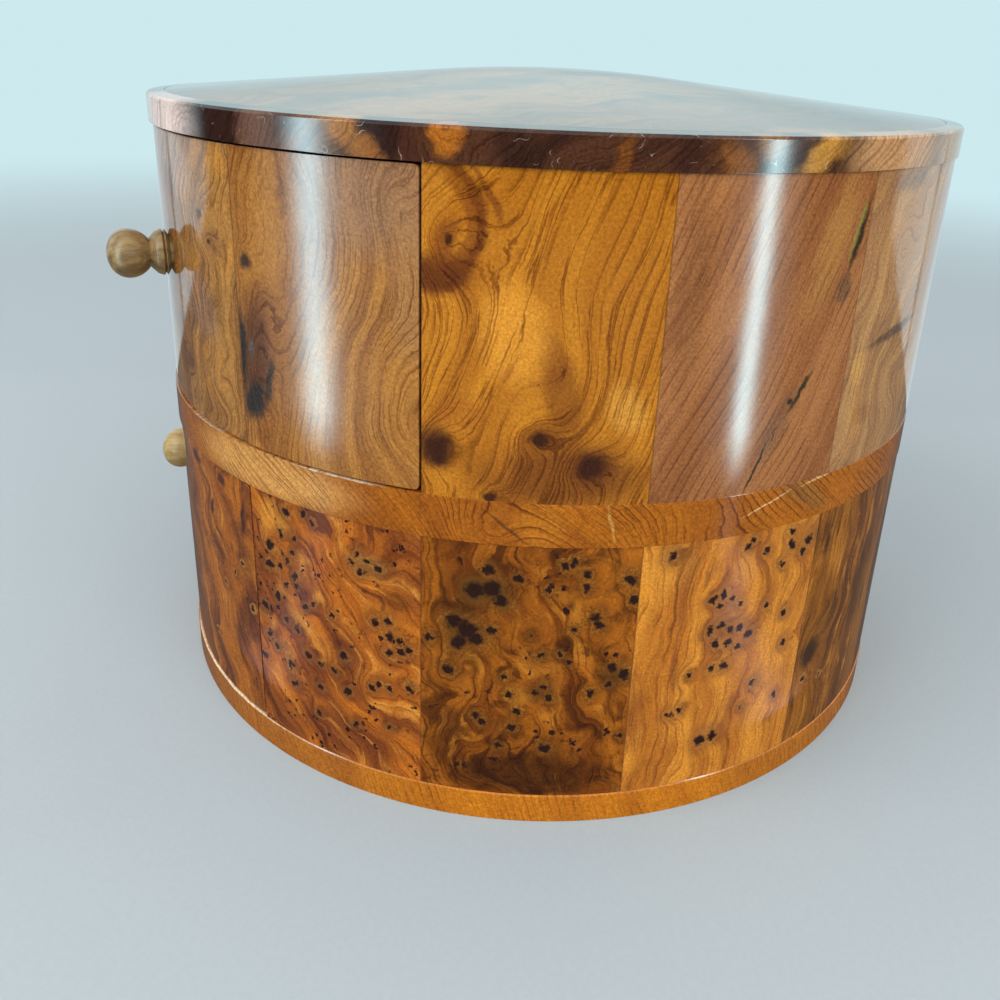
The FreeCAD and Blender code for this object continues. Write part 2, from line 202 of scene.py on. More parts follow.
# Colour of figured wood, laid out in millimetres across, deep and up the piece
def figuredWood(shader, across, deep, up, spec, centre=0.0, floor=0.0):
    tone = dict(woodTone, **spec.get("tone", {}))
    seed = spec.get("seed", 0) * seedStep
    place = shader.join(across + seed, deep, up)
    wobble = shader.noise(place, 0.22, 3, 0.6, 1)
    wobble = shader.vector("SCALE", shader.vector("SUBTRACT", wobble, (0.5, 0.5, 0.5)), spec.get("wobble", 3.0))
    spot = shader.vector("ADD", shader.join(across, 0.0, up), wobble)

    def offset(angle, height):
        return math.radians((angle - centre + 180) % 360 - 180) * drum["radius"], 0.0, height - floor

    def ellipse(angle, height, wide, tall, turn=0.0):
        local = shader.node("ShaderNodeMapping", {"vector_type": "TEXTURE"}, {
            "Vector": spot, "Location": offset(angle, height), "Rotation": (0, math.radians(turn), 0),
            "Scale": (wide, 1000.0, tall)})
        return shader.vector("LENGTH", local, output=1)

    lean = math.radians(spec.get("lean", 0.0))
    curl = shader.noise(place, 1 / spec.get("curlSize", 30.0), 1.5, 0.5)
    field = across * math.cos(lean) + up * math.sin(lean) + (curl - 0.5) * (2 * spec.get("curl", 12.0))
    knotShade = None
    for angle, height, wide, tall, turn, lift, dark in spec.get("knots", []):
        distance = ellipse(angle, height, wide, tall, turn)
        field = field + (distance * distance * -1.0).math("EXPONENT") * lift
        if dark:
            shade = 1 - distance.step(dark * 0.3, dark)
            knotShade = shade if knotShade is None else knotShade.most(shade)
    eyes = None
    if spec.get("eyes"):
        nick = shader.vector("SUBTRACT", shader.noise(place, 1.0, 1, 0.5, 1), (0.5, 0.5, 0.5))
        ragged = shader.vector("ADD", spot, shader.vector("SCALE", nick, 1.6))
    for angle, height, radius in spec.get("eyes", []):
        distance = shader.vector("DISTANCE", ragged, offset(angle, height), output=1)
        distance = distance / (radius * spec.get("eyeSize", 1.0))
        eyes = distance if eyes is None else eyes.least(distance)
    if eyes is not None:
        field = field + (eyes * eyes * -0.16).math("EXPONENT") * spec.get("eyeLift", 2.5)
    ripple = shader.noise(shader.join(across * 0.3 + seed, deep, up), 0.45, 2, 0.5)
    field = field + (ripple - 0.5) * spec.get("ripple", 0.7)
    grain = shader.join(field + seed, deep * 0.3, up * 0.04)
    broad = shader.noise(grain, spec.get("broad", 0.10), 2, 0.5)
    lines = shader.noise(grain, spec.get("lines", 0.32), 3, 0.6)
    fibre = shader.noise(shader.join(field * 3.0 + seed, deep, up * 0.35), 1.0, 3, 0.65)
    mottle = shader.noise(place, 1.6, 3, 0.75)
    lineMask = 1 - (lines - 0.5).size().step(0.0, spec.get("lineWidth", 0.035))
    colour = shader.mix(broad.step(0.38, 0.62), tone["mid"], tone["light"])
    cloud = spec.get("cloud", 0.0)
    if cloud:
        clouds = shader.noise(place, 1 / spec.get("cloudSize", 9.0), 3, 0.55, distortion=0.8)
        colour = shader.mix(clouds.step(0.50, 0.68) * cloud, colour, tone["dark"])
    for angle, height, wide, tall, turn, shade, strength, *hollow in spec.get("patches", []):
        distance = ellipse(angle, height, wide, tall, turn)
        mask = 1 - distance.step(0.35, 1.0)
        if hollow:
            mask = distance.step(hollow[0] - 0.15, hollow[0]) * (1 - distance.step(0.85, 1.0))
        colour = shader.mix(mask * strength, colour, shade)
    flash = spec.get("flash", 0.0)
    if flash:
        silk = shader.noise(shader.join(field * 0.9 + seed, deep, up * 0.16), 0.30, 2, 0.6, distortion=0.6)
        patchy = shader.noise(place, 0.16, 2, 0.5).step(0.36, 0.60)
        colour = shader.mix(silk.step(0.52, 0.66) * patchy * flash, colour, tone["flash"])
        colour = shader.mix((1 - silk.step(0.34, 0.46)) * flash, colour, tone["dark"])
    if eyes is not None:
        halo = (1 - eyes.step(1.0, 4.2)) * mottle.step(0.38, 0.58)
        colour = shader.mix(halo * spec.get("halo", 0.0), colour, tone["dark"])
    phase = (field * spec.get("growth", 0.36) + broad * 3.0).math("FRACT")
    late = (phase.step(0.68, 0.93) * 0.8 + phase.step(0.0, 0.93) * 0.2) * (1 - phase.step(0.95, 1.0))
    late = late * shader.noise(place, 0.07, 2, 0.5).step(0.36, 0.6)
    shade = (lineMask * spec.get("lineStrength", 0.55)).most(late * spec.get("late", 0.7))
    shade = shade.most((fibre - 0.45).step(0.0, 0.3) * spec.get("fibre", 0.5))
    colour = shader.mix(shade, colour, spec.get("lineTint", (0.36, 0.24, 0.26)), "MULTIPLY")
    if knotShade is not None:
        colour = shader.mix(knotShade * 0.92, colour, tone["dark"])
    if spec.get("scuffs"):
        worn = 1 - (shader.noise(place, 0.34, 1, 0.5) - 0.5).size().step(0.002, 0.008)
        worn = worn * shader.noise(place, 0.22, 2, 0.6).step(0.56, 0.64)
        colour = shader.mix(worn * spec["scuffs"], colour, (0.62, 0.50, 0.42))
    if eyes is not None:
        colour = shader.mix((1 - eyes.step(1.0, 2.4)) * spec.get("ringStrength", 0.45), colour, tone["ring"])
        colour = shader.mix(1 - eyes.step(0.6, 1.2), colour, tone["eye"])
    pepper = spec.get("pepper")
    if pepper:
        amount, spacing = pepper
        seen = shader.node("ShaderNodeTexVoronoi", {}, {"Vector": ragged, "Scale": 1 / spacing, "Randomness": 1.0})
        here = shader.noise(place, 0.10, 2, 0.5).step(0.60 - amount, 0.72 - amount)
        colour = shader.mix((1 - seen.step(0.20, 0.32)) * here, colour, tone["eye"])
    grainy = mottle.step(0.2, 0.8) * 0.7 + (fibre - 0.5) * 0.7 + 0.62
    colour = shader.mix(1.0, colour, shader.join(grainy, grainy, grainy), "MULTIPLY")
    return colour, fibre


def varnish(shader, colour, fibre, place):
    swell = shader.noise(place, 0.09, 2, 0.5)
    peel = shader.noise(place, 3.0, 2, 0.6)
    bump = shader.bump(swell * 2.0 + peel * 0.3 + fibre * 0.06, 0.5, 0.00004)
    return shader.finish(colour, peel * 0.04 + 0.03, bump)


def unroll(shader, centre=0.0, floor=0.0):
    x, y, z = shader.split(shader.coordinates())
    cosine, sine = math.cos(math.radians(centre)), math.sin(math.radians(centre))
    ahead = (x * cosine + y * sine) * 1000.0
    aside = (y * cosine - x * sine) * 1000.0
    across = aside.math("ARCTAN2", ahead) * drum["radius"]
    deep = (ahead * ahead + aside * aside).math("SQRT") - drum["radius"]
    return across, deep, z * 1000.0 - floor


def staveFinish(name, centre, floor, spec):
    shader = Shader(name)
    across, deep, up = unroll(shader, centre, floor)
    colour, fibre = figuredWood(shader, across, deep, up, spec, centre, floor)
    seam = math.radians(staveTurn / 2) * drum["radius"]
    colour = shader.mix(across.size().step(seam - 0.22, seam - 0.05) * 0.55, colour, (0.09, 0.03, 0.012))
    return varnish(shader, colour, fibre, shader.join(across, deep, up))


def plainFinish(name, spec, flat=False):
    shader = Shader(name)
    if flat:
        x, y, z = shader.split(shader.coordinates())
        across, up, deep = x * 1000.0, y * 1000.0, z * 1000.0
    else:
        across, deep, up = unroll(shader)
    colour, fibre = figuredWood(shader, across, deep, up, spec)
    return varnish(shader, colour, fibre, shader.join(across, deep, up))


def boardFinish(name, light, dark, direction=(0.06, 1.0, 1.0)):
    shader = Shader(name)
    place = shader.vector("SCALE", shader.coordinates(), 1000.0)
    along = shader.vector("MULTIPLY", place, direction)
    bend = shader.noise(along, 0.05, 2, 0.5)
    rings = shader.noise(shader.vector("ADD", along, shader.join(bend * 6.0, bend * 6.0, bend * 6.0)), 0.45, 3, 0.6)
    pores = shader.noise(along, 3.0, 2, 0.7)
    colour = shader.mix(rings.step(0.3, 0.7), dark, light)
    colour = shader.mix(pores.step(0.55, 0.75) * 0.4, colour, dark)
    return shader.finish(colour, 0.5, shader.bump(pores + rings, 0.4, 0.00006), specular=0.35)


def knobFinish(name, light, dark, place, angle):
    shader = Shader(name)
    local = shader.node("ShaderNodeMapping", {"vector_type": "TEXTURE"}, {
        "Vector": shader.coordinates(),
        "Location": place, "Rotation": (0, 0, math.radians(angle)), "Scale": (0.001, 0.001, 0.001)})
    grain = shader.vector("MULTIPLY", local, (0.16, 1.0, 1.0))
    rings = shader.noise(grain, 0.5, 3, 0.6)
    flecks = shader.noise(shader.vector("MULTIPLY", local, (0.5, 2.0, 2.0)), 1.6, 2, 0.7)
    colour = shader.mix(rings.step(0.3, 0.7), dark, light)
    colour = shader.mix(flecks.step(0.58, 0.72) * 0.6, colour, (0.10, 0.05, 0.02))
    return shader.finish(colour, 0.34, shader.bump(rings + flecks, 0.5, 0.00005), specular=0.4)


def feltFinish(name, light, dark):
    shader = Shader(name)
    place = shader.vector("SCALE", shader.coordinates(), 1000.0)
    fuzz = shader.noise(place, 2.2, 4, 0.75)
    cloud = shader.noise(place, 0.08, 3, 0.6)
    colour = shader.mix(fuzz.step(0.3, 0.7), dark, light)
    colour = shader.mix(cloud.step(0.4, 0.7) * 0.3, colour, dark)
    return shader.finish(colour, 0.95, shader.bump(fuzz, 0.9, 0.0003), specular=0.1, sheen=0.35)


def addMesh(name, bm, material):
    mesh = bpy.data.meshes.new(name)
    bm.to_mesh(mesh)
    bm.free()
    mesh.materials.append(material)
    obj = bpy.data.objects.new(name, mesh)
    scene.collection.objects.link(obj)
    return obj


def finishPiece(bm, name, body, replaced, material, sharp=25):
    bmesh.ops.remove_doubles(bm, verts=bm.verts, dist=0.002)
    bmesh.ops.recalc_face_normals(bm, faces=bm.faces)
    bmesh.ops.scale(bm, vec=(0.001, 0.001, 0.001), verts=bm.verts)
    for face in bm.faces:
        face.smooth = True
    for edge in bm.edges:
        edge.smooth = len(edge.link_faces) == 2 and edge.calc_face_angle(0) < math.radians(sharp)
    obj = addMesh(name, bm, material)
    even = obj.modifiers.new("evenShading", "WEIGHTED_NORMAL")  # small bevels don't tilt the shading of large faces
    even.keep_sharp = True
    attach(obj, body)
    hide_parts(*replaced)
    return obj


def line(bm, points, closed=False):
    verts = [bm.verts.new(point) for point in points]
    for pair in list(zip(verts, verts[1:])) + ([(verts[-1], verts[0])] if closed else []):
        bm.edges.new(pair)


def turnAll(bm, degrees):
    bmesh.ops.rotate(bm, verts=bm.verts, cent=(0, 0, 0), matrix=Matrix.Rotation(math.radians(degrees), 3, "Z"))


def spinAll(bm, axis, angle, steps):
    bmesh.ops.spin(bm, geom=bm.verts[:] + bm.edges[:], cent=(0, 0, 0), axis=axis, dvec=(0, 0, 0),
                   angle=math.radians(angle), steps=steps, use_merge=angle == 360, use_duplicate=False)
    bmesh.ops.remove_doubles(bm, verts=bm.verts, dist=0.0005)


def roundEdges(bm, edges, offset, segments):
    bmesh.ops.bevel(bm, geom=edges, offset=offset, offset_type="OFFSET", segments=segments,
                    profile=0.5, affect="EDGES", material=-1, clamp_overlap=True)


def ringEdges(bm, radius, level):
    def on(vert):
        return abs(math.hypot(vert.co.x, vert.co.y) - radius) < 0.01 and abs(vert.co.z - level) < 0.01
    return [e for e in bm.edges if all(on(v) for v in e.verts)]


def buildStave(name, body, replaced, centre, floor, ceiling, material, shift=0.0, cuts=(), arrisAt=()):
    bm = bmesh.new()
    half = staveTurn / 2
    inner, outer = drum["innerReach"], drum["radius"]
    line(bm, [(inner, 0, floor), (outer, 0, floor), (outer, 0, ceiling), (inner, 0, ceiling)], closed=True)
    turnAll(bm, -half)
    spinAll(bm, (0, 0, 1), staveTurn, 24)
    for vert in bm.verts:  # the inner face is flat
        if math.hypot(vert.co.x, vert.co.y) < (inner + outer) / 2:
            vert.co.x, vert.co.y = inner, inner * vert.co.y / vert.co.x
    bmesh.ops.holes_fill(bm, edges=bm.edges, sides=4)
    turnAll(bm, centre)
    bmesh.ops.translate(bm, verts=bm.verts, vec=(0, shift, 0))
    bmesh.ops.recalc_face_normals(bm, faces=bm.faces)
    centrePoint = Vector((0, shift, 0))
    for angle, away, gap in cuts:
        turn = math.radians(angle)
        normal = Vector((-math.sin(turn), math.cos(turn), 0)) * away
        bmesh.ops.bisect_plane(bm, geom=bm.verts[:] + bm.edges[:] + bm.faces[:], dist=0.0001,
                               plane_co=normal * -gap, plane_no=normal, clear_outer=True)
        rim = [e for e in bm.edges if e.is_boundary]
        bmesh.ops.contextual_create(bm, geom=rim)
        corners = [e for e in bm.edges if all(abs((v.co - normal * -gap).dot(normal)) < 0.001 for v in e.verts)
                   and abs(e.verts[0].co.z - e.verts[1].co.z) < 0.001]
        roundEdges(bm, corners, drum["frontCorner"], 8)

    def outside(edge):
        return all(abs(math.hypot(v.co.x, v.co.y - shift) - outer) < 0.003 for v in edge.verts)

    def onSeam(edge, angle):
        turn = math.radians(angle)
        normal = Vector((-math.sin(turn), math.cos(turn), 0))
        return all(abs((v.co - centrePoint).dot(normal)) < 0.01 for v in edge.verts)

    if cuts or shift:
        arris = [e for e in bm.edges if outside(e) and e.calc_face_angle(0) > 0.6
                 and not any(onSeam(e, centre + side * half) for side in (-1, 1))]
        roundEdges(bm, arris, drum["arris"], 3)
    elif arrisAt:
        arris = [e for e in bm.edges if outside(e) and any(onSeam(e, angle) for angle in arrisAt)]
        roundEdges(bm, arris, drum["arris"], 3)
    return finishPiece(bm, name, body, replaced, material)


# Figure of the staves that the photograph shows: angles round the drum, heights in millimetres.
# knots: angle, height, wide, tall, turn, how far they push the grain, share of them that is dark
# patches: angle, height, wide, tall, turn, colour, strength and, for a ring, the share where it begins
# eyes: angle, height, radius
figure = {
    ("upper", 1): {
        "seed": 1, "lean": -8, "curl": 11, "curlSize": 18, "lines": 0.34, "late": 0.8, "flash": 0.35,
        "tone": {"light": (0.42, 0.2, 0.05), "mid": (0.26, 0.11, 0.03)},
        "knots": [(-46, 126, 5, 5, 0, 7, 0.3), (-44, 120.5, 4, 3, 20, 6, 0.3), (-58, 100, 8, 9, 0, 9, 0)],
        "patches": [(-53, 136, 13, 9, 40, (0.42, 0.27, 0.19), 0.8), (-47, 126, 3, 13, 30, (0.2, 0.11, 0.07), 0.6),
          (-48, 106, 12, 9, 30, (0.3, 0.17, 0.1), 0.75), (-43, 121, 5, 4, 0, (0.22, 0.1, 0.04), 0.6)],
    },
    ("upper", 2): {
        "seed": 2, "lean": -4, "curl": 9, "lines": 0.36, "lineStrength": 0.5, "late": 0.8, "growth": 0.45,
        "lineWidth": 0.028,
        "tone": {"light": (0.46, 0.205, 0.042), "mid": (0.31, 0.122, 0.028), "dark": (0.035, 0.025, 0.02)},
        "knots": [(-36.6, 118.7, 2.4, 2.6, 0, 4, 0.9), (-35.6, 99, 5.4, 14, 4, 10, 0), (-15, 99, 12, 20, 0, 14, 0),
          (-26, 122, 14, 22, 0, -10, 0), (-16, 133, 9, 5, 60, 7, 0)],
        # the greyish-brown patch at -19 degrees, 136 mm, is a painted reflection haze on the top right
        "patches": [(-35, 103, 9, 19, 8, (0.26, 0.1, 0.03), 0.65), (-19, 136, 24, 17, 0, (0.3, 0.165, 0.09), 0.75),
          (-14, 118, 6, 18, 0, (0.36, 0.19, 0.08), 0.5), (-35.7, 99, 6.6, 18, 3, (0.12, 0.05, 0.026), 0.95),
          (-38.2, 100, 1.9, 13, 0, (0.025, 0.025, 0.025), 0.95), (-36.4, 89.5, 4.2, 7, 25, (0.03, 0.03, 0.028), 0.95),
          (-33.4, 95, 1.3, 8, 15, (0.04, 0.03, 0.025), 0.85), (-36.4, 101, 1.5, 3, 0, (0.12, 0.12, 0.12), 0.6),
          (-35, 82, 4, 4, 0, (0.22, 0.07, 0.02), 0.6)],
    },
    ("upper", 3): {
        "seed": 3, "lean": -16, "curl": 5, "curlSize": 34, "lines": 0.26, "lineStrength": 0.75, "lineWidth": 0.022,
        "late": 0.65, "growth": 0.34, "ripple": 0.3, "lineTint": (0.28, 0.16, 0.2), "fibre": 0.45,
        "tone": {"light": (0.56, 0.215, 0.016), "mid": (0.42, 0.145, 0.011), "dark": (0.035, 0.01, 0.005)},
        "knots": [(-10.2, 129, 9, 9, 10, 12, 0), (-10.0, 128.3, 1.5, 1.9, 0, 2, 0.9), (-11.0, 88, 5, 6, 0, 8, 0.85),
          (0.3, 91.8, 3.6, 2.8, 0, 6, 0.75), (6.0, 86.5, 4.6, 4.2, 0, 8, 0.85), (-4.9, 79.5, 3, 2.4, 0, 4, 0.7),
          (3, 104, 7, 13, -8, -7, 0)],
        "patches": [(-11.8, 131, 11, 13.5, 0, (0.15, 0.038, 0.007), 0.9, 0.78),
          (-11.8, 131, 8.6, 10.5, 0, (0.22, 0.06, 0.008), 0.7, 0.82),
          (-10.8, 122.5, 8, 5, 0, (0.13, 0.032, 0.006), 0.9), (-13, 137, 7, 8, 0, (0.5, 0.19, 0.018), 0.95),
          (-10.2, 128.5, 3, 6, 20, (0.24, 0.07, 0.01), 0.85), (-6, 137, 1.2, 9, -30, (0.16, 0.04, 0.008), 0.7),
          (-10.9, 88.5, 5.5, 6.5, 0, (0.12, 0.035, 0.008), 0.85), (2.6, 100, 5, 13, -12, (0.2, 0.058, 0.008), 0.7),
          (3, 84, 24, 10, 0, (0.17, 0.048, 0.008), 0.85), (-4, 89, 4, 9, 0, (0.44, 0.15, 0.012), 0.6),
          (6.3, 86, 6, 5.5, 0, (0.12, 0.036, 0.008), 0.9), (0.6, 92, 5.5, 3.6, 0, (0.16, 0.045, 0.008), 0.8),
          (1.2, 108, 3.5, 8, -14, (0.24, 0.075, 0.01), 0.6), (-3, 112, 9, 13, -10, (0.74, 0.31, 0.032), 0.75),
          (-8.5, 96, 8, 5, 0, (0.36, 0.11, 0.012), 0.6), (9.5, 98, 5, 8, -20, (0.7, 0.34, 0.05), 0.6)],
    },
    ("upper", 4): {
        "seed": 4, "lean": -24, "curl": 5, "curlSize": 50, "lines": 0.42, "lineStrength": 0.45, "lineWidth": 0.03,
        "late": 0.75, "growth": 0.5, "ripple": 0.3,
        "tone": {"light": (0.4, 0.165, 0.055), "mid": (0.29, 0.108, 0.034), "dark": (0.02, 0.018, 0.01)},
        "knots": [(37.1, 129, 1.3, 11, 14, 2, 0.95), (31.2, 99, 1.0, 9, 32, 2, 0.8), (26, 84, 0.7, 12, 22, 2, 0.75),
          (29.8, 97.3, 1.6, 1.2, 0, 1, 0.9)],
        "patches": [(15.5, 120, 5, 26, 0, (0.22, 0.085, 0.028), 0.5), (33, 128, 5, 18, 14, (0.44, 0.21, 0.05), 0.6),
          (35.9, 119, 3, 4, 0, (0.13, 0.075, 0.04), 0.7), (36.7, 130.5, 1.1, 8, 14, (0.26, 0.27, 0.05), 0.6),
          (28.5, 92, 3.4, 12, 25, (0.17, 0.09, 0.05), 0.5)],
    },
    ("upper", 5): {
        "seed": 5, "lean": -18, "curl": 10, "curlSize": 20, "lines": 0.4, "lineStrength": 0.45, "late": 0.55,
        "flash": 0.3, "fibre": 0.35,
        "tone": {"light": (0.5, 0.27, 0.1), "mid": (0.36, 0.18, 0.075), "dark": (0.16, 0.08, 0.04)},
        "knots": [(50, 96, 7, 8, 0, 10, 0), (46, 126, 6, 9, 0, 9, 0)],
        "patches": [(47, 139, 10, 3, -8, (0.2, 0.13, 0.08), 0.7), (49, 107, 16, 1.5, -9, (0.1, 0.06, 0.045), 0.85),
          (41, 101, 3, 5, 0, (0.66, 0.36, 0.09), 0.5), (44, 90, 5, 3, 0, (0.26, 0.12, 0.05), 0.5)],
    },
    ("lower", 1): {
        "seed": 11, "lean": 20, "curl": 10, "curlSize": 16, "lines": 0.4, "lineStrength": 0.5, "cloud": 0.45,
        "flash": 0.5, "halo": 0.6, "eyeLift": 4,
        "tone": {"light": (0.46, 0.14, 0.014), "mid": (0.23, 0.065, 0.012), "dark": (0.06, 0.018, 0.012)},
        "knots": [(-50, 56.5, 1.6, 4, 20, 4, 0.8), (-55, 66, 8, 3, 0, 5, 0.6), (-46, 65.5, 4, 3, 20, 5, 0.7),
          (-41, 59, 1.6, 8, 10, 4, 0.8)],
        "patches": [(-42, 32, 5, 14, 20, (0.08, 0.022, 0.01), 0.7), (-47, 30, 6, 9, 20, (0.5, 0.17, 0.02), 0.6)],
        "eyes": [(-40, 36, 0.9), (-42, 47, 0.6), (-44, 43, 0.6), (-47, 38, 0.7), (-52, 20, 0.8)],
    },
    ("lower", 2): {
        "seed": 12, "lean": 38, "curl": 7, "curlSize": 15, "lines": 0.42, "lineStrength": 0.45, "cloud": 0.25,
        "cloudSize": 11, "flash": 0.75, "fibre": 0.55, "halo": 0.85, "eyeLift": 4, "eyeSize": 1.35,
        "pepper": (0.15, 2.1), "ringStrength": 0.15,
        "tone": {"light": (0.58, 0.165, 0.013), "mid": (0.29, 0.078, 0.012), "dark": (0.085, 0.02, 0.009)},
        "knots": [(-20, 59.5, 8, 6, 0, 9, 0), (-20, 27, 10, 8, 0, 8, 0)],
        "patches": [(-34, 64, 7, 5, 20, (0.75, 0.32, 0.04), 0.7), (-19.5, 60, 6, 3.6, 0, (0.6, 0.3, 0.06), 0.6),
          (-16, 53, 5, 3, 20, (0.1, 0.025, 0.006), 0.7), (-17, 47, 9, 4, 30, (0.62, 0.21, 0.016), 0.5),
          (-24, 14, 22, 8, 0, (0.15, 0.034, 0.01), 0.7), (-26, 30, 9, 4, 38, (0.16, 0.036, 0.008), 0.6),
          (-30, 40, 7, 3, 30, (0.7, 0.3, 0.04), 0.5), (-18, 38, 8, 5, 10, (0.42, 0.11, 0.01), 0.5)],
        "eyes": [(-32, 66.2, 0.8), (-28.9, 67.5, 0.7), (-33, 60.1, 0.7), (-30.5, 60.8, 0.7), (-35.2, 56.5, 0.9),
          (-33, 55.4, 0.6), (-31.2, 56.5, 0.6), (-35.4, 51.3, 0.9), (-33.4, 52.4, 0.7), (-32, 54, 0.6),
          (-30.9, 50.9, 0.7), (-32.4, 48.2, 0.7), (-30.6, 48.6, 0.7), (-34.2, 44.2, 0.8), (-37, 39.6, 0.8),
          (-29.4, 44.5, 0.7), (-28, 45.6, 0.6), (-32.8, 38.4, 0.7), (-31, 37.2, 0.6), (-36.4, 32.3, 0.8),
          (-35, 30.4, 0.8), (-37.9, 25.3, 0.9), (-29.2, 31.8, 0.9), (-27.3, 31, 0.6), (-32.4, 26.7, 0.8),
          (-25, 30.7, 0.7), (-32, 22.3, 0.8), (-27.4, 24.3, 0.7), (-27.6, 65.4, 0.6), (-25, 44.8, 0.6),
          (-21.1, 61.9, 0.7), (-21.8, 59.5, 0.7), (-20.6, 57.6, 0.7), (-19.6, 60.4, 0.6), (-18.4, 59.4, 0.8),
          (-18.9, 46.3, 0.8), (-17.1, 46.8, 0.8), (-16.9, 43.5, 0.6), (-15.6, 43, 0.7), (-15.3, 40.4, 0.8),
          (-17, 39.2, 0.9), (-14.2, 40.9, 0.7), (-23.6, 35.2, 1.0), (-18.3, 30.8, 0.7), (-19.5, 29.2, 0.7),
          (-17, 29.9, 0.6), (-14.5, 31.6, 0.7), (-23, 26.1, 0.7), (-28, 17, 0.7), (-22, 18, 0.7), (-17, 20, 0.6)],
    },
    ("lower", 3): {
        "seed": 13, "lean": 10, "curl": 10, "curlSize": 11, "lines": 0.36, "lineStrength": 0.4, "cloud": 0.75,
        "cloudSize": 8, "ringStrength": 0.14, "flash": 0.7, "fibre": 0.55, "halo": 0.9, "eyeLift": 5, "eyeSize": 1.25,
        "pepper": (0.1, 2.6),
        "tone": {"light": (0.42, 0.128, 0.009), "mid": (0.19, 0.048, 0.004), "dark": (0.045, 0.011, 0.002),
          "flash": (0.56, 0.21, 0.02), "ring": (0.5, 0.22, 0.03)},
        "knots": [(-7.1, 49.1, 2.6, 4.2, 15, 4, 0.5), (-9.3, 39.1, 2.2, 3.6, 15, 7, 0.35),
          (-2.7, 21.9, 1.6, 4.4, 0, 4, 0.6), (-5.8, 27.3, 2.4, 2.8, 20, 5, 0.5), (-6.7, 15.4, 9, 7, 0, 12, 0)],
        "patches": [(-5.6, 58.5, 6, 3.6, 0, (0.05, 0.012, 0.003), 0.85),
          (-6.8, 48, 6, 4, 0, (0.05, 0.012, 0.003), 0.6), (-9.5, 18, 6, 7, 0, (0.06, 0.015, 0.002), 0.7),
          (10.5, 38, 5, 4, 0, (0.05, 0.012, 0.003), 0.6), (2, 35, 4, 3, 0, (0.05, 0.012, 0.003), 0.6),
          (0, 13, 24, 8, 0, (0.045, 0.012, 0.002), 0.85), (-9, 25, 6, 6, 0, (0.07, 0.02, 0.003), 0.7),
          (-5, 58, 8, 5.5, 0, (0.07, 0.018, 0.003), 0.8), (2, 42, 8, 5, 0, (0.5, 0.19, 0.02), 0.4),
          (-8, 38, 5, 8, 0, (0.42, 0.14, 0.012), 0.4)],
        "eyes": [(-4.8, 63.1, 1.0), (-6.3, 58.2, 1.7), (-4.4, 58.8, 1.8), (-3.4, 56.5, 1.3), (-1.4, 61.6, 0.8),
          (3.9, 65, 0.8), (5, 65.4, 0.8), (6.7, 62.9, 0.8), (6.6, 60, 0.8), (11.7, 61.5, 1.1), (12.4, 56.6, 0.9),
          (2.3, 59.4, 0.7), (7.8, 53.1, 1.0), (8.3, 51.2, 1.0), (5.5, 50.3, 0.7), (-8.8, 50.1, 1.4),
          (-7.2, 48.8, 1.9), (-6.0, 46.4, 1.4), (-8, 45.6, 1.6), (-4.4, 49.2, 0.8), (-12, 45.8, 0.9),
          (0.3, 48.4, 0.6), (1.6, 43.6, 0.7), (3.9, 44.2, 0.6), (-9.4, 38.1, 1.0), (-2.6, 38, 0.7), (10.3, 40.5, 1.1),
          (11.9, 38.7, 1.1), (10.3, 36.4, 0.8), (1.1, 34.6, 0.8), (2.3, 36.2, 0.7), (2.8, 33.2, 0.8),
          (7.9, 34.4, 0.8), (-2, 33.5, 0.7), (-6.1, 27.3, 0.7), (-5.2, 25.9, 0.8), (-1, 29.3, 0.7), (-1.5, 25.3, 0.9),
          (-3, 20.3, 0.8), (2.8, 20.2, 1.0), (12.1, 22.9, 0.6)],
    },
    ("lower", 4): {
        "seed": 14, "lean": -4, "curl": 7, "curlSize": 18, "lines": 0.36, "lineStrength": 0.4, "cloud": 0.25,
        "flash": 0.45, "halo": 0.9, "eyeLift": 4, "eyeSize": 1.25, "ringStrength": 0.2,
        "tone": {"light": (0.72, 0.28, 0.03), "mid": (0.5, 0.165, 0.018), "dark": (0.17, 0.048, 0.016)},
        # the golden patch at 27 degrees, 60 mm, is partly lighter wood and partly a painted highlight where the right
        # strip's reflection runs down onto this tier
        "patches": [(17, 64, 7, 8, 0, (0.68, 0.28, 0.035), 0.8), (27, 60, 5, 6, 0, (0.62, 0.26, 0.06), 0.6),
          (24.5, 50, 4.5, 11, 12, (0.4, 0.16, 0.07), 0.7), (14, 26, 4, 12, 0, (0.3, 0.085, 0.012), 0.6),
          (25.5, 46, 5, 3, 0, (0.3, 0.08, 0.012), 0.6)],
        "eyes": [(16.5, 66.4, 0.9), (26.7, 65.7, 0.8), (27.4, 67.3, 0.7), (29.6, 63.7, 0.8), (33.6, 66.8, 0.9),
          (34, 63.7, 0.9), (37.0, 63.4, 1.1), (36.0, 60.8, 0.9), (32.5, 59.3, 0.7), (22.7, 54.4, 0.8),
          (24.1, 55.2, 0.8), (25.5, 53.9, 0.7), (26.7, 52.2, 0.7), (23.7, 52.6, 0.7), (22.9, 46.8, 0.9),
          (24.3, 47.4, 0.9), (25.7, 46.2, 0.9), (27.2, 45.9, 0.9), (28.6, 43.4, 1.0), (25.6, 43.0, 0.9),
          (23.7, 43.1, 0.9), (27.2, 40.9, 0.8), (34.4, 46.3, 0.8), (35.2, 38, 0.8), (23.8, 36.9, 0.9),
          (25.5, 37.2, 0.9), (30.6, 29.6, 0.8), (18.5, 26.8, 0.8), (19.7, 27.5, 0.7), (23.4, 18, 1.1),
          (25, 18.4, 1.0), (31, 50, 0.6), (29, 24, 0.6), (20.5, 36, 0.6), (35, 24, 0.7)],
    },
    ("lower", 5): {
        "seed": 15, "lean": -6, "curl": 6, "curlSize": 24, "lines": 0.46, "lineStrength": 0.65, "flash": 0.6,
        "fibre": 0.6,
        "tone": {"light": (0.4, 0.145, 0.012), "mid": (0.17, 0.055, 0.007), "dark": (0.03, 0.014, 0.004)},
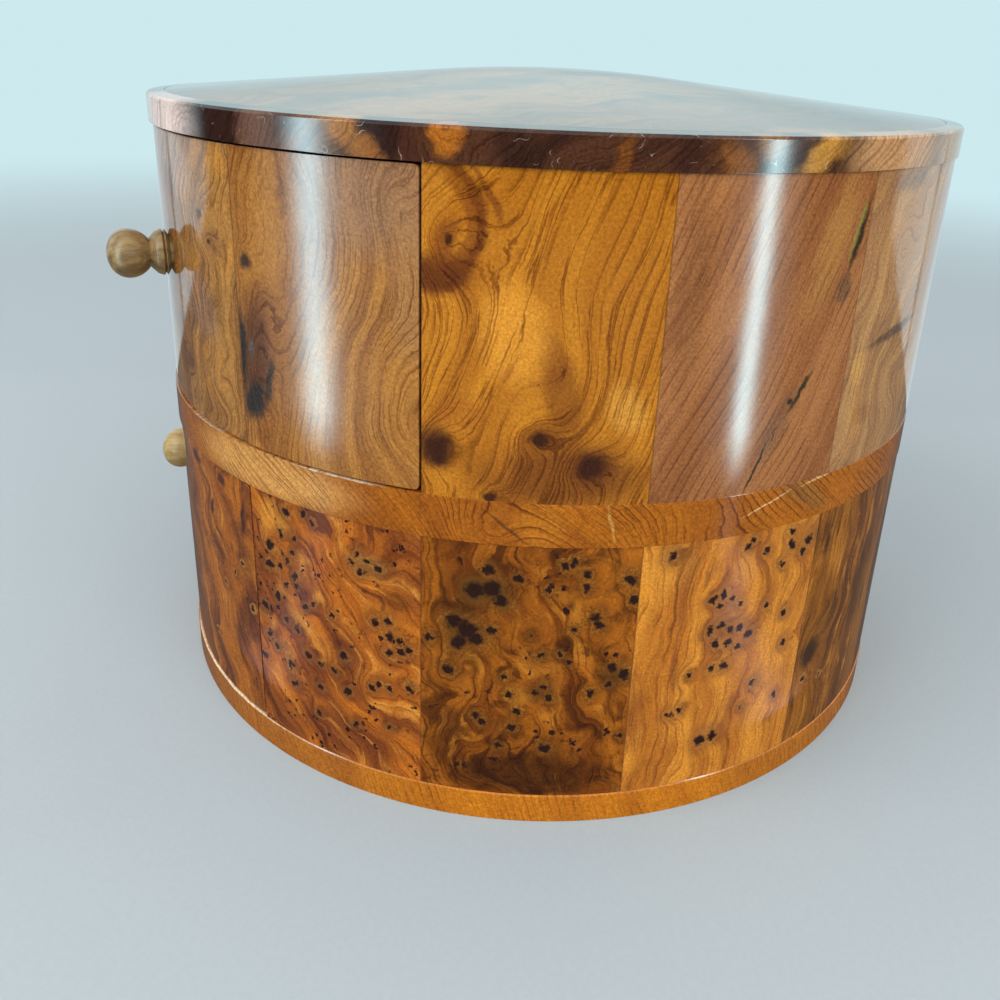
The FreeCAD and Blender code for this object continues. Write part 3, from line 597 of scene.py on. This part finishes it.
        "knots": [(41.5, 31, 5, 6, 30, 6, 0.95)],
        "patches": [(44, 56, 5, 8, 0, (0.52, 0.2, 0.02), 0.6), (41, 62, 3, 6, 0, (0.07, 0.02, 0.005), 0.7)],
        "eyes": [(41, 24, 0.8), (45, 22, 0.7)],
    },
}


def randomFigure(seed, floor, ceiling, centre, burl):
    draw = random.Random(seed)
    half = staveTurn / 2
    tone = draw.choice(({}, {"light": (0.42, 0.175, 0.055), "mid": (0.29, 0.11, 0.034)},
                        {"light": (0.60, 0.25, 0.030), "mid": (0.40, 0.145, 0.018)},
                        {"light": (0.40, 0.125, 0.012), "mid": (0.20, 0.052, 0.006)}))
    spec = {"seed": seed, "tone": tone, "flash": 0.6 if burl > 1 else 0.15, "halo": 0.7,
            "lean": draw.uniform(-25, 25), "curl": draw.uniform(8, 20), "curlSize": draw.uniform(22, 40),
            "knots": [], "eyes": [], "patches": []}
    for _ in range(draw.randint(1, 3)):
        spec["knots"].append((centre + draw.uniform(-half, half), draw.uniform(floor, ceiling),
                              draw.uniform(5, 11), draw.uniform(6, 14), draw.uniform(-40, 40),
                              draw.uniform(6, 16), draw.choice((0, 0.3, 0.45))))
        spec["patches"].append((centre + draw.uniform(-half, half), draw.uniform(floor, ceiling),
                                draw.uniform(6, 14), draw.uniform(6, 16), draw.uniform(-30, 30),
                                (0.13, 0.038, 0.008), draw.uniform(0.4, 0.8)))
    if burl > 1:
        spec["pepper"] = (draw.uniform(0.06, 0.14), 2.4)
    for _ in range(burl):
        angle, height = centre + draw.uniform(-half, half), draw.uniform(floor, ceiling)
        for _ in range(draw.randint(2, 4)):
            spec["eyes"].append((angle + draw.uniform(-3, 3), height + draw.uniform(-4, 4),
                                 draw.uniform(0.7, 1.4)))
    return spec


def staveSpec(tier, number, floor, ceiling, centre):
    known = figure.get((tier, number))
    if known:
        return known
    seedStart, burl = (3, 8) if tier == "lower" else (50, 1)
    return randomFigure(number * 7 + seedStart, floor, ceiling, centre, burl)


def buildTier(tier, floor, ceiling, openEachSide):
    last = drum["staveCount"] - openEachSide - 1
    for order, number in enumerate(range(openEachSide, last + 1), start=1):
        centre = -90 + (number + 0.5) * staveTurn
        spec = staveSpec(tier, number, floor, ceiling, centre)
        material = staveFinish(f"{tier}Wall{order:02d}Wood", centre, floor, spec)
        arrisAt = []
        if number == openEachSide:
            arrisAt.append(centre - staveTurn / 2)
        if number == last:
            arrisAt.append(centre + staveTurn / 2)
        buildStave(f"{tier}WallStave{order:02d}", "carcass", [f"{tier}_wall_stave_{order:02d}"], centre,
                   floor, ceiling, material, arrisAt=arrisAt)


def buildFront(label, name, first, last, gaps, tier):
    floor, ceiling = drum[tier + "Floor"], drum[tier + "Ceiling"]
    for order, number in enumerate(range(first, last), start=1):
        centre = -90 + (number + 0.5) * staveTurn
        spec = staveSpec(tier, number, floor, ceiling, centre)
        material = staveFinish(f"{label}Front{order}Wood", centre, floor, spec)
        cuts = []
        if number == first:
            cuts.append((-90 + number * staveTurn, -1, gaps[0]))
        if number == last - 1:
            cuts.append((-90 + (number + 1) * staveTurn, 1, gaps[1]))
        buildStave(f"{label}FrontStave{order}", f"{name}_drawer", [f"{name}_front_stave_{order}"], centre,
                   floor + drum["frontGap"], ceiling - drum["frontGap"], material, drum["frontRecess"], cuts)


gap = drum["frontGap"]
buildTier("lower", drum["lowerFloor"], drum["lowerCeiling"], 2)
buildTier("upper", drum["upperFloor"], drum["upperCeiling"], 3)
buildFront("lower", "lower", -2, 2, (gap, gap), "lower")
buildFront("upperLeft", "upper_left", -3, 0, (gap, gap / 2), "upper")
buildFront("upperRight", "upper_right", 0, 3, (gap / 2, gap), "upper")
print("staves built")


bands = {
    "thickness": 4.0, "baseOver": 0.2, "lidOver": 0.6, "panelGap": 0.04, "panelMiddle": 0.66,
    "baseBevel": 0.4, "lidBevel": 0.45, "softEdge": 0.12, "steps": 288,
    "topSlope": 5.5, "crownRadius": 30.0,
}
bandFigure = {
    "base": {
        "seed": 31, "lean": 24, "curl": 9, "curlSize": 60, "lines": 0.5, "lineStrength": 0.35, "late": 0.6,
        "growth": 0.6, "wobble": 0.5,
        "tone": {"light": (0.66, 0.225, 0.012), "mid": (0.48, 0.15, 0.01)},
        "patches": [(-42, 4, 60, 14, 0, (0.38, 0.13, 0.02), 0.7), (40, 4, 30, 14, 0, (0.46, 0.16, 0.015), 0.6),
          # the thin pale line at 7.15 mm along the top arris is a painted highlight
          (-50, 7.15, 40, 0.3, 0, (0.86, 0.68, 0.44), 0.85)],
    },
    "mid": {
        "seed": 32, "lean": 52, "curl": 6, "curlSize": 50, "lines": 0.5, "lineWidth": 0.03, "late": 0.95,
        "growth": 0.75, "wobble": 1.4, "lineTint": (0.3, 0.18, 0.2),
        "tone": {"light": (0.42, 0.13, 0.009), "mid": (0.32, 0.092, 0.008)},
        "knots": [(-6, 70, 9, 8, 0, 9, 0), (20, 66, 14, 8, 0, 8, 0)],
        # the golden patch at -36 degrees is partly lighter wood and partly a painted reflection haze
        "patches": [(-36, 74, 34, 8, 0, (0.76, 0.4, 0.11), 0.75), (1, 74, 7, 8, 0, (0.56, 0.2, 0.015), 0.6),
          (-3, 73, 0.5, 8, -52, (0.12, 0.04, 0.01), 0.8), (8.8, 74.5, 0.5, 6, -14, (0.75, 0.42, 0.1), 0.6),
          # the thin pale lines at 78.2 to 78.5 mm along the top arris, at -50, -24 and 37 degrees, are painted
          # highlights
          (34, 76, 14, 3.5, 30, (0.27, 0.13, 0.03), 0.6), (-24, 78.5, 14, 0.32, 0, (0.76, 0.6, 0.42), 0.8),
          (-50, 78.5, 16, 0.3, 0, (0.66, 0.48, 0.3), 0.6), (28.6, 75.2, 8, 0.35, -19, (0.85, 0.58, 0.28), 0.8),
          (37, 78.2, 8, 0.4, -8, (0.8, 0.52, 0.22), 0.7)],
    },
    "lid": {
        "seed": 33, "scuffs": 0.55, "lean": -38, "curl": 7, "curlSize": 18, "lines": 0.36, "lineStrength": 0.6,
        "growth": 0.5, "wobble": 5.0, "lineTint": (0.34, 0.26, 0.3), "fibre": 0.35,
        "tone": {"light": (0.08, 0.03, 0.014), "mid": (0.032, 0.012, 0.008)},
        "knots": [(-10.6, 150, 5, 7, 0, 12, 0), (22, 141, 6, 5, 0, 8, 0), (-48, 143, 7, 5, 0, 8, 0),
          (4, 140, 9, 6, 30, 8, 0)],
        "patches": [(-24, 145, 9, 9, -48, (0.2, 0.085, 0.028), 0.8),
          (-21.5, 146.5, 4.2, 9, -48, (0.36, 0.15, 0.032), 0.9), (-18.4, 142.2, 3.4, 5, -48, (0.3, 0.11, 0.025), 0.8),
          (-28, 142, 4, 4, 0, (0.22, 0.07, 0.02), 0.7), (-10.4, 146, 4.2, 5, 0, (0.42, 0.135, 0.014), 0.95),
          (-14, 144, 2.4, 6, -20, (0.06, 0.02, 0.012), 0.8), (-3.5, 145, 5, 6, -30, (0.035, 0.014, 0.009), 0.8),
          (6.8, 143, 2.2, 7, 20, (0.2, 0.065, 0.012), 0.8), (13.5, 145, 4, 8, 20, (0.035, 0.013, 0.009), 0.7),
          (18.8, 143, 4, 6, -50, (0.26, 0.095, 0.022), 0.8), (22.5, 147, 5, 4, -50, (0.3, 0.12, 0.03), 0.7),
          (42, 145, 21, 16, 0, (0.62, 0.33, 0.14), 0.85), (60, 145, 22, 16, 0, (0.54, 0.32, 0.15), 0.8),
          (29.5, 145, 4.2, 9, 50, (0.54, 0.26, 0.05), 0.9), (-33, 145, 7, 12, 0, (0.19, 0.09, 0.055), 0.7),
          # the pale patch at -56 degrees is a painted reflection of the pale surroundings at the far left
          (-56, 145, 24, 14, 0, (0.85, 0.6, 0.5), 0.9)],
    },
    "top": {
        "seed": 34, "lean": 40, "curl": 18, "curlSize": 26, "lines": 0.3, "cloud": 0.5, "fibre": 0.35,
        "tone": {"light": (0.3, 0.13, 0.03), "mid": (0.16, 0.062, 0.02), "dark": (0.05, 0.018, 0.01)},
    },
}


def buildBand(name, node, corners, material, soft):
    bm = bmesh.new()
    line(bm, [(radius, 0, level) for radius, level in corners], closed=True)
    spinAll(bm, (0, 0, 1), 360, bands["steps"])
    for radius, level in soft:
        roundEdges(bm, ringEdges(bm, radius, level), bands["softEdge"], 2)
    return finishPiece(bm, name, "carcass", [node], material)


outer = drum["radius"] + bands["baseOver"]
inner = outer - bands["thickness"]
bevel = bands["baseBevel"]
top = drum["lowerFloor"]
buildBand("baseBand", "base_band",
          [(inner, 0), (outer, 0), (outer, top - bevel), (outer - bevel, top), (inner, top)],
          plainFinish("baseBandWood", bandFigure["base"]),
          [(outer, 0), (outer, top - bevel), (outer - bevel, top)])
low, high = drum["lowerCeiling"], drum["upperFloor"]
buildBand("midBand", "mid_band", [(inner, low), (outer, low), (outer, high), (inner, high)],
          plainFinish("midBandWood", bandFigure["mid"]), [(outer, low), (outer, high)])

slope = math.radians(bands["topSlope"])
lidRadius = drum["radius"] + bands["lidOver"]
rim = drum["rimLevel"]


def coneLevel(radius):
    return rim + (lidRadius - radius) * math.tan(slope)


inner = lidRadius - bands["thickness"]
bevel = bands["lidBevel"]
buildBand("lidBand", "lid_band",
          [(inner, drum["upperCeiling"]), (lidRadius, drum["upperCeiling"]), (lidRadius, rim - bevel),
           (lidRadius - bevel, coneLevel(lidRadius - bevel)), (inner, coneLevel(inner))],
          plainFinish("lidBandWood", bandFigure["lid"]),
          [(lidRadius, drum["upperCeiling"]), (lidRadius, rim - bevel),
           (lidRadius - bevel, coneLevel(lidRadius - bevel))])


def buildTop():
    bm = bmesh.new()
    panel = inner - bands["panelGap"]
    middle = panel * bands["panelMiddle"]
    crown = bands["crownRadius"]
    ball = crown / math.sin(slope)
    ballCentre = coneLevel(crown) - ball * math.cos(slope)
    start = bm.verts.new((crown, 0, coneLevel(crown)))
    bmesh.ops.spin(bm, geom=[start], cent=(0, 0, ballCentre), axis=(0, -1, 0), dvec=(0, 0, 0), angle=slope, steps=8)
    apex = min(bm.verts, key=lambda v: abs(v.co.x))
    apex.co.x = 0
    line(bm, [(0, 0, drum["upperCeiling"]), (panel, 0, drum["upperCeiling"]), (panel, 0, coneLevel(panel)),
              (middle, 0, coneLevel(middle)), (crown, 0, coneLevel(crown))])
    bmesh.ops.remove_doubles(bm, verts=bm.verts, dist=0.001)
    spinAll(bm, (0, 0, 1), 360, bands["steps"])
    roundEdges(bm, ringEdges(bm, panel, coneLevel(panel)), bands["softEdge"], 2)
    material = plainFinish("topWood", bandFigure["top"], flat=True)
    return finishPiece(bm, "topPanel", "carcass", ["top_panel"], material)


buildTop()
print("bands and top built")


knob = {
    "upperBall": 5.5, "lowerBall": 5.9, "reach": 8.95, "shoulderShare": 0.77, "faceAngle": 30.0,
    "neck": 3.15, "collar": 5.25, "lip": 0.9, "grooveWidth": 0.7, "grooveDepth": 0.75,
    "collarFront": 3.0, "collarFrontRadius": 4.7, "foot": 3.7, "height": 35.3,
    "upperAngle": 30.3, "upperLean": 5.4, "steps": 96, "softEdge": 0.16,
    "lowerTone": ((0.56, 0.40, 0.17), (0.34, 0.22, 0.08)), "upperTone": ((0.34, 0.22, 0.09), (0.14, 0.08, 0.03)),
}


def buildKnob(name, node, body, ball, angle, lean, floor, light, dark):
    bm = bmesh.new()
    spec = knob

    def arc(point, centreX, centreZ, degrees, steps):
        start = bm.verts.new(point)
        bmesh.ops.spin(bm, geom=[start], cent=(centreX, 0, centreZ), axis=(0, 1, 0), dvec=(0, 0, 0),
                       angle=math.radians(degrees), steps=steps)

    shoulder = spec["shoulderShare"] * ball
    faceTurn = math.radians(spec["faceAngle"])
    edgeX = spec["reach"] + shoulder * math.cos(faceTurn)
    edgeZ = ball - shoulder + shoulder * math.sin(faceTurn)
    faceRadius = edgeZ / math.sin(faceTurn)
    faceCentre = edgeX - faceRadius * math.cos(faceTurn)
    neckX = spec["reach"] - math.sqrt(ball ** 2 - spec["neck"] ** 2)
    backTurn = 180 - math.degrees(math.asin(spec["neck"] / ball)) - 90
    arc((neckX, 0, spec["neck"]), spec["reach"], 0, backTurn, 16)
    arc((spec["reach"], 0, ball), spec["reach"], ball - shoulder, 90 - spec["faceAngle"], 10)
    arc((edgeX, 0, edgeZ), faceCentre, 0, spec["faceAngle"], 8)
    tip = max(bm.verts, key=lambda v: v.co.x)
    tip.co.z = 0
    second = spec["lip"] + spec["grooveWidth"]
    line(bm, [(-1.0, 0, 0), (-1.0, 0, spec["foot"]), (0, 0, spec["foot"]), (spec["lip"], 0, spec["collar"]),
              (spec["lip"] + spec["grooveWidth"] / 2, 0, spec["collar"] - spec["grooveDepth"]),
              (second, 0, spec["collar"]), (spec["collarFront"], 0, spec["collarFrontRadius"]),
              (neckX, 0, spec["neck"])])
    bmesh.ops.remove_doubles(bm, verts=bm.verts, dist=0.001)
    spinAll(bm, (1, 0, 0), 360, spec["steps"])

    def ring(x, radius):
        return [e for e in bm.edges if all(abs(v.co.x - x) < 0.01 and
                abs(math.hypot(v.co.y, v.co.z) - radius) < 0.01 for v in e.verts)]

    for x, radius in ((spec["lip"], spec["collar"]), (second, spec["collar"]),
                      (spec["collarFront"], spec["collarFrontRadius"])):
        roundEdges(bm, ring(x, radius), spec["softEdge"], 3)
    turn = math.radians(angle)
    place = Vector((math.cos(turn) * drum["radius"], math.sin(turn) * drum["radius"] + drum["frontRecess"],
                    floor + spec["height"]))
    turnAll(bm, angle + lean)
    bmesh.ops.translate(bm, verts=bm.verts, vec=place)
    material = knobFinish(name + "Wood", light, dark, place * 0.001, angle + lean)
    return finishPiece(bm, name, body, [node], material, 35)


buildKnob("lowerKnob", "lower_knob", "lower_drawer", knob["lowerBall"], -90, 0, drum["lowerFloor"],
          *knob["lowerTone"])
for side, label, name in ((-1, "upperLeftKnob", "upper_left"), (1, "upperRightKnob", "upper_right")):
    buildKnob(label, f"{name}_knob", f"{name}_drawer", knob["upperBall"], -90 + side * knob["upperAngle"],
              -side * knob["upperLean"], drum["upperFloor"], *knob["upperTone"])
print("knobs built")


carcassBoard = boardFinish("carcassBoardWood", (0.50, 0.30, 0.13), (0.30, 0.16, 0.06))
drawerBoard = boardFinish("drawerBoardWood", (0.55, 0.36, 0.17), (0.36, 0.20, 0.08), (1.0, 0.06, 1.0))
felt = feltFinish("feltGreen", (0.075, 0.12, 0.065), (0.03, 0.055, 0.03))
for name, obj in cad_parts.items():
    if obj.hide_render:
        continue
    if name.endswith("_lining"):
        finish = felt
    elif "rail" in name or name in ("base_board", "mid_deck", "centre_divider"):
        finish = carcassBoard
    else:
        finish = drawerBoard
    for slot in obj.material_slots:
        slot.material = finish
print("inside finished")


studio = {
    "floor": (0.40, 0.46, 0.49), "floorRadius": 4.0, "background": (0.61, 0.82, 0.86),
    "skyLight": (0.92, 0.92, 0.92), "overhead": (0.84, 1.13, 1.18), "mirroredBackdrop": (0.57, 0.78, 0.83),
    "mirroredFront": (0.03, 0.035, 0.04), "panelBeside": (0.82, 1.06, 1.14), "panelBehind": (0.64, 0.80, 0.87),
    "panelPlace": -0.18, "panelWide": 2.4, "panelTall": 0.147, "panelJoint": 0.35, "lightAim": (0, 0, 0.08),
}
lights = {
    "key": {"place": (0.45, -0.55, 0.75), "wide": 0.7, "power": 4.6},
    "fill": {"place": (0.75, 0.45, 0.55), "wide": 0.6, "power": 3.68},
}
# Azimuth in degrees round the drum, lengths in metres
strips = {
    "leftStrip": {"azimuth": -48.6, "distance": 0.216, "wide": 0.056, "tall": 0.34, "glow": 12.5,
                  "colour": (0.55, 0.88, 1.0)},
    "rightStrip": {"azimuth": 43.5, "distance": 0.216, "wide": 0.031, "tall": 0.34, "glow": 16.0,
                   "colour": (0.62, 0.93, 1.0)},
    "leftSheen": {"azimuth": -49.4, "distance": 0.166, "wide": 0.06, "tall": 0.10, "glow": 0.5,
                  "colour": (0.85, 0.75, 1.0), "lying": True},
    "rightSheen": {"azimuth": 45.0, "distance": 0.166, "wide": 0.05, "tall": 0.10, "glow": 0.7,
                   "colour": (0.85, 0.75, 1.0), "lying": True},
}


# The varnish mirrors the pale backdrop behind and beside the drum, and dark surroundings in front of it
def mirroredAround(shader, x, y):
    side = x / (x * x + y * y).math("SQRT")
    return shader.mix(1 - side.step(-0.36, -0.14), studio["mirroredFront"], studio["mirroredBackdrop"])


def stageSheet(name, bm, material, place=(0, 0, 0), turn=(0, 0, 0), onlyMirrored=True):
    obj = addMesh(name, bm, material)
    obj.location, obj.rotation_euler = place, turn
    if onlyMirrored:
        obj.visible_camera = obj.visible_diffuse = obj.visible_shadow = False


def sheetMesh(wide, tall):
    bm = bmesh.new()
    bmesh.ops.create_grid(bm, x_segments=1, y_segments=1, size=0.5)
    bmesh.ops.scale(bm, vec=(wide, tall, 1), verts=bm.verts)
    return bm


def buildFloor():
    bm = bmesh.new()
    bmesh.ops.create_circle(bm, cap_ends=True, segments=96, radius=studio["floorRadius"])
    shader = Shader("floorPaper")
    place = shader.coordinates()
    speckle = shader.noise(place, 700.0, 2, 0.6)
    colour = shader.mix(speckle.step(0.35, 0.65) * 0.10, studio["floor"], (0.30, 0.35, 0.38))
    mirrored = shader.node("ShaderNodeLightPath", output="Is Glossy Ray")
    colour = shader.mix(mirrored * 0.86, colour, (0.01, 0.015, 0.02))
    paper = shader.node("ShaderNodeBsdfPrincipled", {}, {
        "Base Color": colour, "Roughness": 0.7, "Specular IOR Level": 0.2})
    x, y, z = shader.split(place)
    far = shader.mix(mirrored, studio["background"], mirroredAround(shader, x, y))
    backdrop = shader.node("ShaderNodeEmission", {}, {"Color": far, "Strength": 1.0})
    away = shader.vector("LENGTH", place, output=1).step(0.45, 1.3)
    shader.node("ShaderNodeOutputMaterial", {}, {0: shader.node("ShaderNodeMixShader", {}, {
        0: away, 1: paper, 2: backdrop})})
    stageSheet("floor", bm, shader.owner, onlyMirrored=False)


def buildWorld():
    world = bpy.data.worlds.new("studio")
    scene.world = world
    shader = Shader("studio", world)
    path = shader.node("ShaderNodeLightPath")
    outputs = path.socket.node.outputs
    x, y, z = shader.split(shader.coordinates("Generated"))
    glow = z.step(0.12, 0.24) * (1 - z.step(0.40, 0.60))
    mirrored = shader.mix(z.step(0.0, 0.02), mirroredAround(shader, x, y), studio["mirroredBackdrop"])
    mirrored = shader.mix(glow, mirrored, studio["overhead"])
    colour = shader.mix(Wire(shader, outputs["Is Glossy Ray"]), studio["skyLight"], mirrored)
    colour = shader.mix(Wire(shader, outputs["Is Camera Ray"]), colour, studio["background"])
    back = shader.node("ShaderNodeBackground", {}, {"Color": colour, "Strength": 1.0})
    shader.node("ShaderNodeOutputWorld", {}, {0: back})


def addArea(name, place, wide, power):
    data = bpy.data.lights.new(name, "AREA")
    data.shape = "RECTANGLE"
    data.size = data.size_y = wide
    data.energy = power
    obj = bpy.data.objects.new(name, data)
    obj.location = place
    obj.rotation_euler = (Vector(studio["lightAim"]) - Vector(place)).to_track_quat("-Z", "Y").to_euler()
    obj.visible_camera = obj.visible_glossy = False
    scene.collection.objects.link(obj)


# A glow that lets through what lies behind it where it is not covered
def finishGlow(shader, colour, strength, cover):
    emission = shader.node("ShaderNodeEmission", {}, {"Color": colour, "Strength": strength})
    clear = shader.node("ShaderNodeBsdfTransparent")
    shader.node("ShaderNodeOutputMaterial", {}, {0: shader.node("ShaderNodeMixShader", {}, {
        0: cover, 1: clear, 2: emission})})


# A low pale panel behind the drum, in three parts with dark joints, for the reflections at the drum's sides
def addPanel():
    tall, joint = studio["panelTall"], studio["panelJoint"]
    shader = Shader("panelGlow")
    x, y, z = shader.split(shader.coordinates())
    colour = shader.mix(x.size().step(joint - 0.01, joint + 0.01), studio["panelBehind"], studio["panelBeside"])
    colour = shader.mix((x.size() - joint).size().step(0.004, 0.009), studio["mirroredFront"], colour)
    back = shader.node("ShaderNodeNewGeometry", output="Backfacing")
    cover = (1 - x.size().step(0.8, 1.15)) * (1 - (y + tall / 2).step(tall * 0.7, tall))
    finishGlow(shader, colour, 1.0, cover * (1 - back))
    stageSheet("panel", sheetMesh(studio["panelWide"], tall), shader.owner,
               (studio["panelPlace"], 0, tall / 2), (math.pi / 2, 0, math.pi / 2))


# A soft glowing card that only the varnish shows: brightest along its middle
def addStrip(name, azimuth, distance, wide, tall, glow, colour, lying=False):
    turn = math.radians(azimuth)
    shader = Shader(name + "Glow")
    x, y, z = shader.split(shader.coordinates())
    ratio = x * (3.6 / wide)
    bell = (ratio * ratio * -1.0).math("EXPONENT") + (ratio * ratio * -0.10).math("EXPONENT") * 0.10
    fade = 1 - ratio.size().step(3.6, 5.2)
    if not lying:
        height = y + tall / 2
        fade = fade * (height.step(0.022, 0.048) * 0.97 + 0.03) * (1 - height.step(tall * 0.62, tall))
    cover = (bell * fade * 2.0).least(1.0)
    finishGlow(shader, colour, (bell * fade * glow).most(0.0) / cover.most(0.001), cover)
    stageSheet(name, sheetMesh(wide * 3, tall), shader.owner,
               (math.cos(turn) * distance, math.sin(turn) * distance, 0.0005 if lying else tall / 2),
               (0 if lying else math.pi / 2, 0, turn - math.pi / 2))


buildFloor()
buildWorld()
addPanel()
for name, spec in lights.items():
    addArea(name, **spec)
for name, spec in strips.items():
    addStrip(name, **spec)
scene.view_settings.view_transform = "Standard"
print("floor and light placed")
